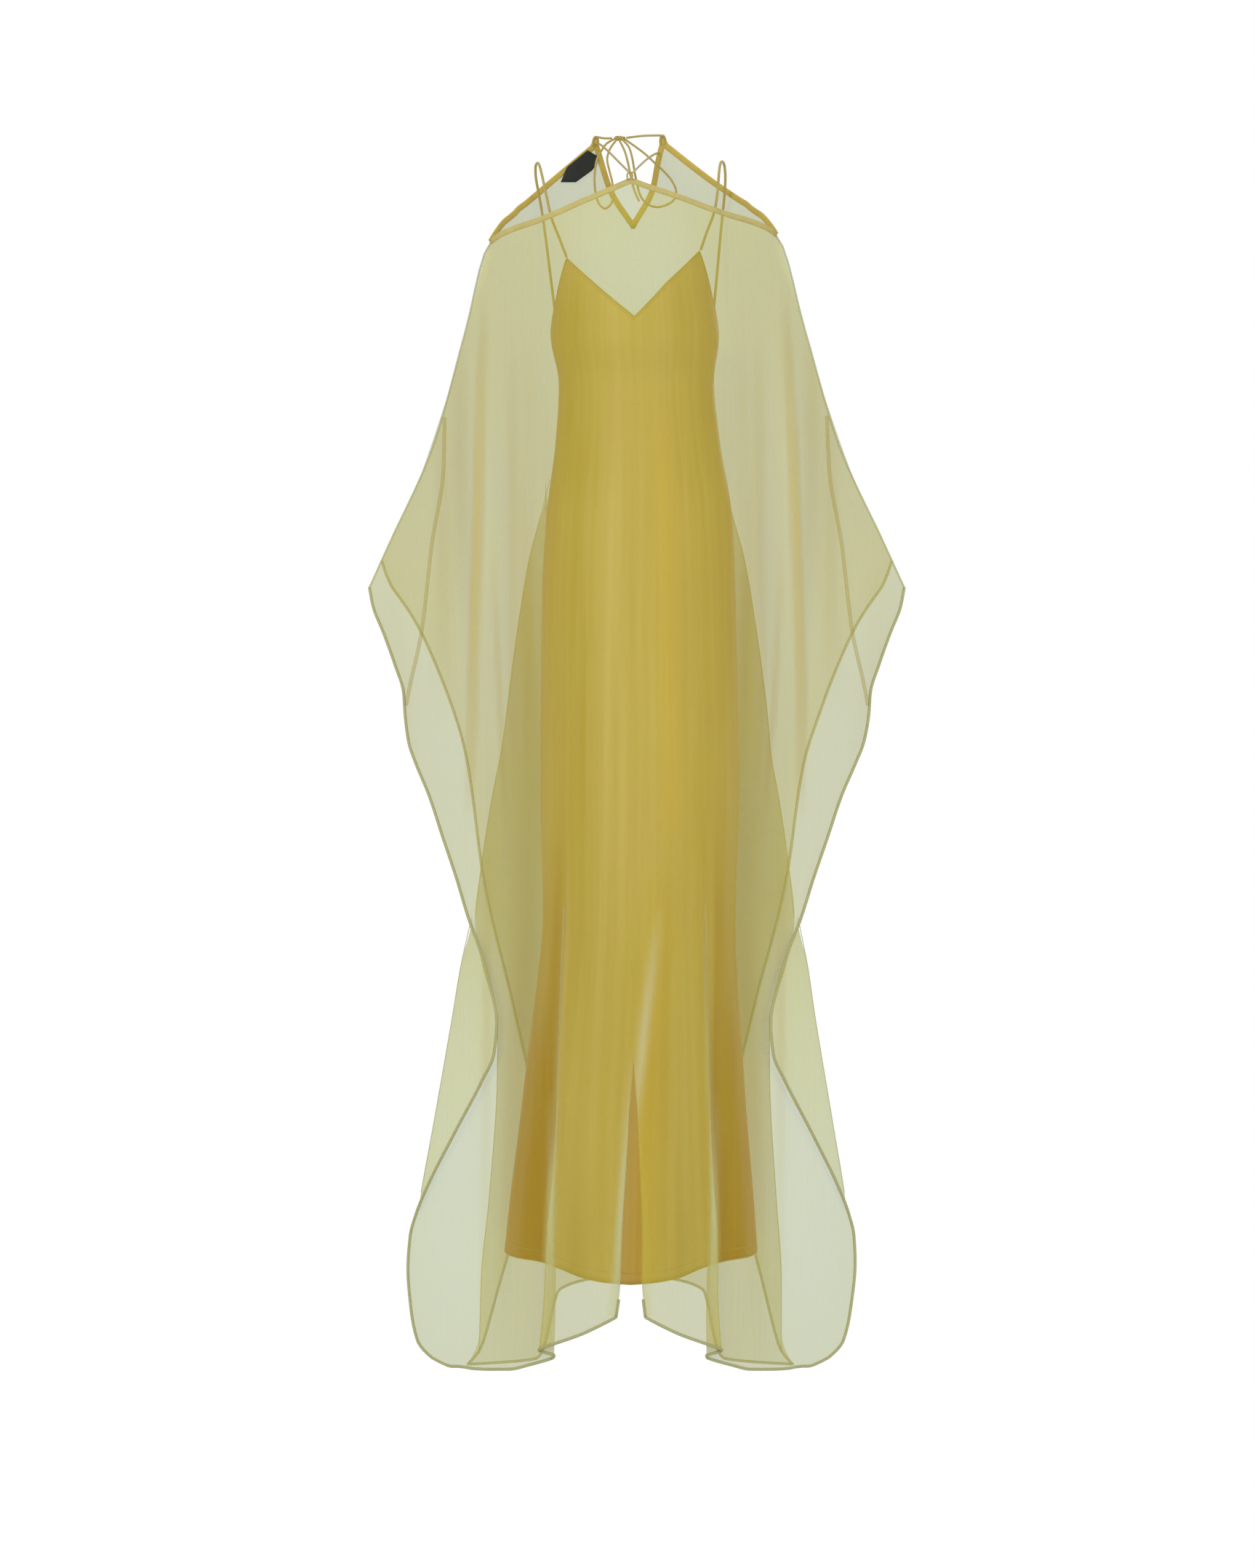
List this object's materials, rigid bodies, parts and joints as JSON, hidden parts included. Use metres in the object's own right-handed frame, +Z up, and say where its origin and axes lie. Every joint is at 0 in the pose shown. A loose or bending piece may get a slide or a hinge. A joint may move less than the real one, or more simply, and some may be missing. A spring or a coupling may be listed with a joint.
{
  "type": "sheer kaftan with slip dress",
  "caption": "Sheer organza halter kaftan, open at the sides, filled out over a long satin V-neck slip dress on cord straps.",
  "frame": {"origin": "at the neck, midway between the two halter tips, where the wearer's neck holds the kaftan", "axes": "+Z up, -Y to the front, +X towards the wearer's left, which is the right of the front view"},
  "size_m": [0.6851, 0.368, 1.6079],
  "materials": {
    "organza": "sheer pale yellow-green organza",
    "satin": "mustard satin with a soft sheen",
    "binding": "folded bias binding, mustard",
    "halter_cord": "thin turned cord, mustard",
    "satin_cord": "thin satin cord",
    "label": "bare black woven label"
  },
  "bodies": {
    "root": {"kaftan_front": "organza", "kaftan_back": "organza", "slip_front": "satin", "slip_back": "satin", "front_loop": "halter_cord", "front_top_binding": "binding", "back_edge_binding_left": "binding", "back_edge_binding_right": "binding", "back_v_binding_left": "binding", "back_v_binding_right": "binding", "neck_label": "label", "halter_bar_left": "halter_cord", "halter_bar_right": "halter_cord", "halter_cross_left": "halter_cord", "halter_cross_right": "halter_cord", "bow_left": "halter_cord", "bow_right": "halter_cord", "halter_tail": "halter_cord", "halter_knot": "halter_cord", "slip_strap_left": "satin_cord", "slip_strap_right": "satin_cord"}
  },
  "joints": []
}
